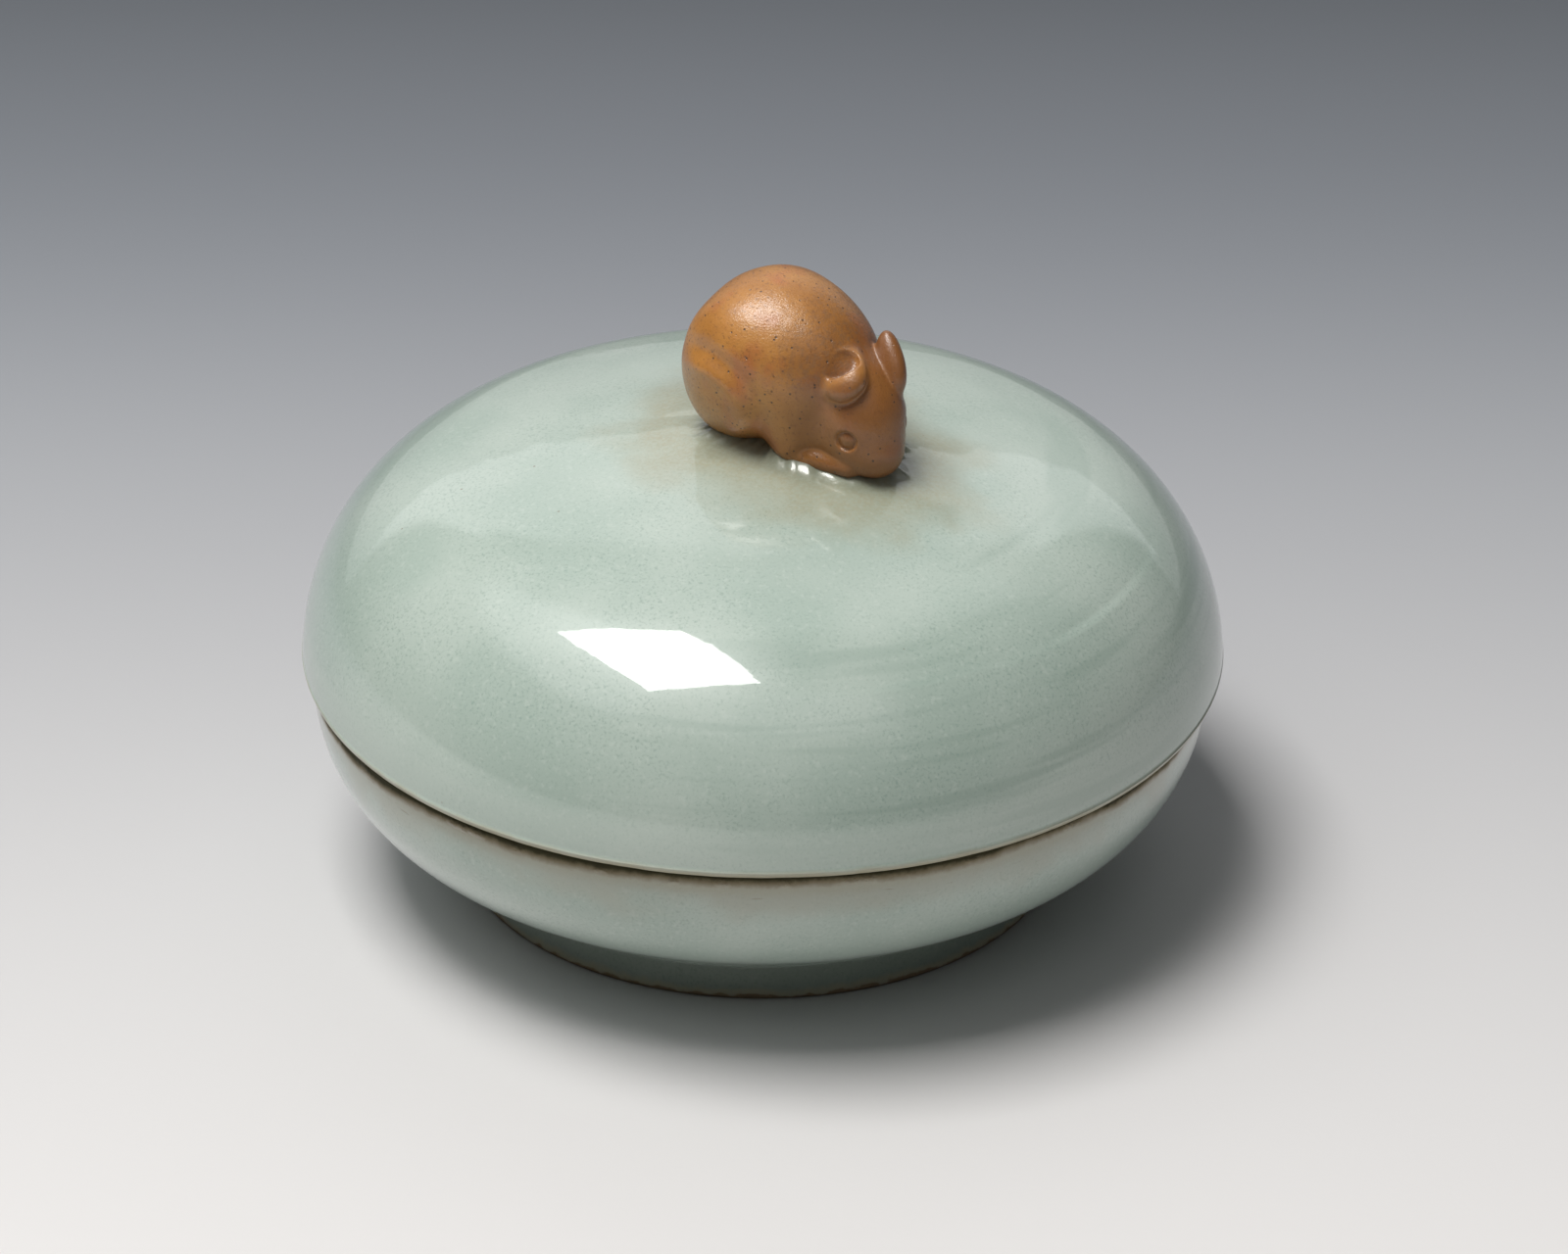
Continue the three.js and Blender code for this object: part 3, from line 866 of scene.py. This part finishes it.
def make_foot():
    r = FOOT_ROUNDING
    inner = FOOT_RADIUS - FOOT_WALL
    profile = [
        *arc(FOOT_RADIUS - r, r, r, -math.pi / 2, 0, 0.15),
        *line((FOOT_RADIUS, r), (FOOT_RADIUS - 0.3, FOOT_TOP_Z - 0.05), 12),
        *line((FOOT_RADIUS - 0.3, FOOT_TOP_Z - 0.05), (inner - 0.8, FOOT_TOP_Z - 0.05), 4),
        *line((inner - 0.8, FOOT_TOP_Z - 0.05), (inner, r), 12),
        *arc(inner + r, r, r, math.pi, 1.5 * math.pi, 0.15),
    ]
    points, faces = turned(profile, closed=True)
    foot = mesh_object("foot_glazed", points, faces, foot_glaze())
    placed(foot, "bowl", "celadon_glaze", "foot_ring")


def make_flange():
    tip = (FLANGE_RADIUS - BOWL_INNER_RADIUS) / 2
    profile = [
        *line((BOWL_INNER_RADIUS, REBATE_Z), (FLANGE_RADIUS, REBATE_Z), 3),
        *line((FLANGE_RADIUS, REBATE_Z), (FLANGE_RADIUS, FLANGE_TOP_Z - tip), 14),
        *arc(FLANGE_RADIUS - tip, FLANGE_TOP_Z - tip, tip, 0, math.pi, 0.2),
        *line((BOWL_INNER_RADIUS, FLANGE_TOP_Z - tip), (BOWL_INNER_RADIUS, REBATE_Z), 14),
    ]
    points, faces = turned(profile, closed=True)
    flange = mesh_object("locating_flange_bare", points, faces, bare_stoneware())
    placed(flange, "bowl", "bare_stoneware", "locating_flange")


def make_lid():
    shoulder_r = LID_RADIUS - LID_SHOULDER_ARC
    turn = tangent_angle(shoulder_r, LID_SHOULDER_ARC, LID_CROWN_ARC)
    centre_z = LID_SHOULDER_Z - (LID_CROWN_ARC - LID_SHOULDER_ARC) * math.sin(turn)
    inner_shoulder = LID_SHOULDER_ARC - WALL
    round_r = LID_EDGE_ROUNDING
    rise = SEAT_Z - LID_SHOULDER_Z
    edge_angle = math.asin((rise + round_r) / LID_SHOULDER_ARC)
    inner_edge = math.asin(rise / inner_shoulder)
    near_mouse = math.acos(38 / LID_CROWN_ARC)
    profile = [
        *reversed(arc(0, centre_z, LID_CROWN_ARC - WALL, turn, math.pi / 2, 2.0)),
        *arc(shoulder_r, LID_SHOULDER_Z, inner_shoulder, turn, inner_edge, 1.3),
        *line((LID_RADIUS - WALL, SEAT_Z), (LID_RADIUS - round_r, SEAT_Z), 3),
        *arc(LID_RADIUS - round_r, SEAT_Z + round_r, round_r, -math.pi / 2, 0, 0.15),
        *arc(shoulder_r, LID_SHOULDER_Z, LID_SHOULDER_ARC, edge_angle, turn, 0.72),
        *arc(0, centre_z, LID_CROWN_ARC, turn, near_mouse, 0.9),
        *arc(0, centre_z, LID_CROWN_ARC, near_mouse, math.pi / 2, 0.36),
    ]
    points, faces = turned(profile, closed=False)
    points = handmade(points, seed=0.4)
    points += np.array(direction(LID_STEP_ASIDE, 0, 0))
    outer = points[:, 2] > SEAT_Z + 20
    outer &= length(points - np.array([0, 0, centre_z])) > LID_CROWN_ARC - WALL / 2
    gap = np.full(len(points), 60.0)
    about_crown = points[outer] - np.array([0, 0, CROWN_Z])
    gap[outer] = np.minimum(mouse(about_crown), tail_distance(about_crown))
    # the glaze gathers in a small fillet against the mouse
    bearing = np.arctan2(points[:, 1], points[:, 0] - 6)
    width = 1.0 + 0.22 * np.sin(5 * bearing + 0.6)
    width = width + 0.16 * np.sin(13 * bearing) + 0.10 * np.sin(31 * bearing)
    points[:, 2] += 1.05 * width * np.exp(-((np.maximum(gap, 0) / (1.25 * width)) ** 2)) * outer
    points[:, 2] -= CROWN_DIP * smooth_step(0.5, 13.0, gap) * smooth_step(42.0, 13.0, gap) * outer
    lid = mesh_object("lid_glazed", points, faces, lid_glaze(), attributes={"mouse_gap": gap})
    placed(lid, "lid", "celadon_glaze", "lid_shell")


# The tail lies on the lid and curls forward round the left haunch.
TAIL_ROUTE = ((-10.5, 1.0), (-12.2, 4.6), (-11.2, 9.6), (-6.0, 13.6), (0.0, 14.6), (6.0, 13.4), (10.0, 11.2))
TAIL_THICK = 1.5
TAIL_THIN = 0.75


def tail_path(steps=90):
    """Points along the tail, and its radius at each."""
    route = np.array([TAIL_ROUTE[0], *TAIL_ROUTE, TAIL_ROUTE[-1]], float)
    spans = len(route) - 3
    at = np.linspace(0, spans - 1e-6, steps)
    i = at.astype(int)
    t = (at - i)[:, None]
    a, b, c, d = (route[i + k] for k in range(4))
    flat = 0.5 * (2 * b + (c - a) * t + (2 * a - 5 * b + 4 * c - d) * t**2 + (3 * b - 3 * c + d - a) * t**3)
    share = at / spans
    radius = TAIL_THICK + (TAIL_THIN - TAIL_THICK) * share
    fall = LID_CROWN_ARC - np.sqrt(LID_CROWN_ARC**2 - (flat**2).sum(1))
    return np.column_stack([flat, radius * 0.72 - fall]), radius


def tail_distance(p):
    path, radius = tail_path(45)
    nearest = np.full(p.shape[:-1], 1e3)
    for centre, r in zip(path, radius):
        nearest = np.minimum(nearest, length(p - centre) - r)
    return nearest


def make_tail(material):
    path, radius = tail_path()
    ways = np.gradient(path, axis=0)
    ways /= length(ways)[:, None]
    sides = np.cross(ways, (0, 0, 1))
    sides /= length(sides)[:, None]
    ups = np.cross(sides, ways)
    around = 24
    angles = np.arange(around) * 2 * math.pi / around
    rings, normals = [], []
    cap = np.linspace(0.15, 1, 5)
    stations = [(path[0] - ways[0] * radius[0] * math.sqrt(1 - c * c), 0, c) for c in cap[:-1]]
    stations += [(path[i], i, 1.0) for i in range(len(path))]
    stations += [(path[-1] + ways[-1] * radius[-1] * math.sqrt(1 - c * c), -1, c) for c in cap[-2::-1]]
    for centre, i, share in stations:
        out = np.cos(angles)[:, None] * sides[i] + np.sin(angles)[:, None] * ups[i]
        rings.append(centre + out * radius[i] * share)
        tilt = math.sqrt(1 - share * share) * (1 if i == -1 else -1)
        normals.append(out * share + ways[i] * tilt)
    points = np.vstack([*rings, path[0] - ways[0] * radius[0], path[-1] + ways[-1] * radius[-1]])
    normals = np.vstack([*normals, -ways[0], ways[-1]])
    count = len(rings)
    faces = []
    for i in range(count - 1):
        for k in range(around):
            m = (k + 1) % around
            faces.append((i * around + k, (i + 1) * around + k, (i + 1) * around + m, i * around + m))
    last = (count - 1) * around
    for k in range(around):
        m = (k + 1) % around
        faces.append((len(points) - 2, k, m))
        faces.append((len(points) - 1, last + m, last + k))
    # how closed in by the mouse each point of the tail is; the material paints it as shade
    occlusion = 1 - np.clip(mouse(points) / 2.0, 0, 1)
    attributes = {"occlusion": occlusion * 0.6, "ridge": np.zeros(len(points))}
    points = points + np.array([0, 0, CROWN_Z])
    tail = mesh_object("tail", points, faces, material, normals, attributes)
    placed(tail, "lid", "mouse_biscuit", "mouse_tail")


def make_mouse():
    material = mouse_biscuit()
    points, quads = surface_net(bedded, (-14, -17, -5), (31, 17, 28), MOUSE_CELL)
    for _ in range(2):
        slope = gradient(bedded, points)
        size = np.maximum(length(slope) ** 2, 0.25)
        move = slope * (bedded(points) / size)[:, None]
        limit = np.minimum(1, 0.5 * MOUSE_CELL / np.maximum(length(move), 1e-9))
        points = points - move * limit[:, None]
    normals = gradient(bedded, points)
    normals /= np.maximum(length(normals), 1e-9)[:, None]
    occlusion, ridge = shade_attributes(points, normals)
    names, labels = face_labels(points, quads)
    lift = np.array([0, 0, CROWN_Z])
    for i, node in enumerate(names):
        used, patch, faces, patch_normals = capped(points, quads[labels == i], normals)
        extra = len(patch) - len(used)
        attributes = {
            "occlusion": np.append(occlusion[used], np.zeros(extra)),
            "ridge": np.append(ridge[used], np.zeros(extra)),
        }
        name = node.removeprefix("mouse_")
        piece = mesh_object(name, patch + lift, faces, material, patch_normals, attributes)
        placed(piece, "lid", "mouse_biscuit", node)
    make_tail(material)


# ---- Stage -------------------------------------------------------------------------------


def direction(sideways, away, up):
    """A vector from parts along the camera's right, away from it, and up."""
    right = Vector((math.cos(CAMERA_AZIMUTH), math.sin(CAMERA_AZIMUTH), 0))
    forward = Vector((-math.sin(CAMERA_AZIMUTH), math.cos(CAMERA_AZIMUTH), 0))
    return right * sideways + forward * away + Vector((0, 0, up))


# painted fall-off of light: the paper darkens away from the camera's side
PAPER_NEAR = (0.795, 0.775, 0.765)
PAPER_MIDDLE_SHADE = (0.245, 0.260, 0.288)
PAPER_FAR_SHADE = (0.064, 0.072, 0.081)
FLOOR_REACH = 6000


def floor_material():
    """Paper that shades from pale in front to dark grey at the back: the fall-off of the studio light,
    painted into its colour.
    """
    shader = Shader("paper_painted_falloff")
    away = shader.along(shader.place, direction(0, 1, 0))
    colour = shader.mix(shader.fade(away, -260, 300), PAPER_NEAR, PAPER_MIDDLE_SHADE)
    colour = shader.mix(shader.fade(away, 120, 520), colour, PAPER_FAR_SHADE)
    fibre = shader.bump(shader.noise(1.2, 3), 0.02)
    return shader.finish({"Base Color": colour, "Roughness": 0.9, "Specular IOR Level": 0.1, "Normal": fibre})


def make_floor():
    reach = FLOOR_REACH
    corners = [(-reach, -reach, 0), (reach, -reach, 0), (reach, reach, 0), (-reach, reach, 0)]
    floor = mesh_object("floor", corners, [(0, 1, 2, 3)], floor_material())


def area_lamp(name, centre, width, depth, power, turn, colour):
    data = bpy.data.lights.new(name, "AREA")
    data.shape = "RECTANGLE"
    data.size, data.size_y = width * MM, depth * MM
    data.energy = power
    data.color = colour
    lamp = bpy.data.objects.new(name, data)
    lamp.location = Vector(centre) * MM
    lamp.rotation_euler = (0, 0, turn)
    bpy.context.scene.collection.objects.link(lamp)


# How bright the studio round the object is: 1 is white paper in full light. Each side has a
# level near the horizon, one above 20 degrees and one above 45 degrees.
LEFT_LEVELS = (0.0, 0.15, 1.25)
RIGHT_LEVELS = (0.12, 0.0, 0.0)
FRONT_LEVELS = (0.0, 0.14, 0.57)
BACK_HIGH_LEVEL = 0.41
ZENITH_LEVEL = 0.05
SCREEN_LEVEL = 0.94
BACKDROP_LEVEL = 0.32

# half width and height, as shares of the distance
BACKDROP_OVAL = (1.04, 0.485)
SCREEN_OVAL = (1.02, 1.22)

KEY_PLACE = (-566, -124, 2000)
KEY_SIZE = (828, 1143)
KEY_TURN = math.radians(50.6)
KEY_POWER = 43.0
KEY_COLOUR = (1.0, 0.985, 0.96)
SKY_COLOUR = (0.97, 0.985, 1.0, 1.0)


def make_world():
    world = bpy.data.worlds.new("studio")
    bpy.context.scene.world = world
    world.use_nodes = True
    nodes = Nodes(world.node_tree)
    way = nodes.node("TexCoord").outputs["Generated"]

    def blend(share, start, end):
        return nodes.node("Mix", {0: share, 2: start, 3: end}, data_type="FLOAT").outputs[0]

    def by_height(low, middle, high):
        lower = blend(nodes.fade(up, 0.29, 0.39), low, middle)
        return blend(nodes.fade(up, 0.66, 0.76), lower, high)

    right = nodes.along(way, direction(1, 0, 0))
    away = nodes.along(way, direction(0, 1, 0))
    up = nodes.along(way, (0, 0, 1))
    turn = nodes.math("ARCTAN2", right, away)
    left_or_right = nodes.fade(turn, -0.2, 0.2)
    side = blend(left_or_right, by_height(*LEFT_LEVELS), by_height(*RIGHT_LEVELS))
    off_back = nodes.math("ABSOLUTE", turn)
    front = nodes.fade(off_back, 2.25, 2.5)
    room = blend(front, side, by_height(*FRONT_LEVELS))
    back = nodes.fade(off_back, 0.95, 0.7)
    room = blend(back, room, by_height(0.0, 0.0, BACK_HIGH_LEVEL))
    room = blend(nodes.fade(up, 0.92, 0.96), room, ZENITH_LEVEL)
    # a bright screen that shows over a sheet of grey paper
    ahead = nodes.math("MAXIMUM", away, 0.001)
    across = nodes.math("ABSOLUTE", nodes.math("DIVIDE", right, ahead))
    above = nodes.math("DIVIDE", up, ahead)

    def in_oval(size, power):
        wide = nodes.math("POWER", nodes.math("DIVIDE", across, size[0]), power)
        high = nodes.math("POWER", nodes.math("DIVIDE", above, size[1]), power)
        return nodes.math("ADD", wide, high)

    screen = nodes.fade(in_oval(SCREEN_OVAL, 1.3), 1.10, 0.90)
    paper = nodes.fade(in_oval(BACKDROP_OVAL, 2.0), 1.04, 0.97)
    level = blend(screen, room, SCREEN_LEVEL)
    level = blend(paper, level, BACKDROP_LEVEL)
    light = nodes.node("Background", {"Color": SKY_COLOUR, "Strength": level})
    nodes.node("OutputWorld", {"Surface": light.outputs[0]})


def make_lights():
    make_world()
    centre = direction(*KEY_PLACE)
    area_lamp("key_softbox", centre, *KEY_SIZE, KEY_POWER, KEY_TURN, KEY_COLOUR)


# ---- The scene ---------------------------------------------------------------------------

make_camera()
make_floor()
make_lights()
make_bowl()
make_foot()
make_flange()
make_lid()
make_mouse()
bpy.context.scene.view_settings.view_transform = "Standard"
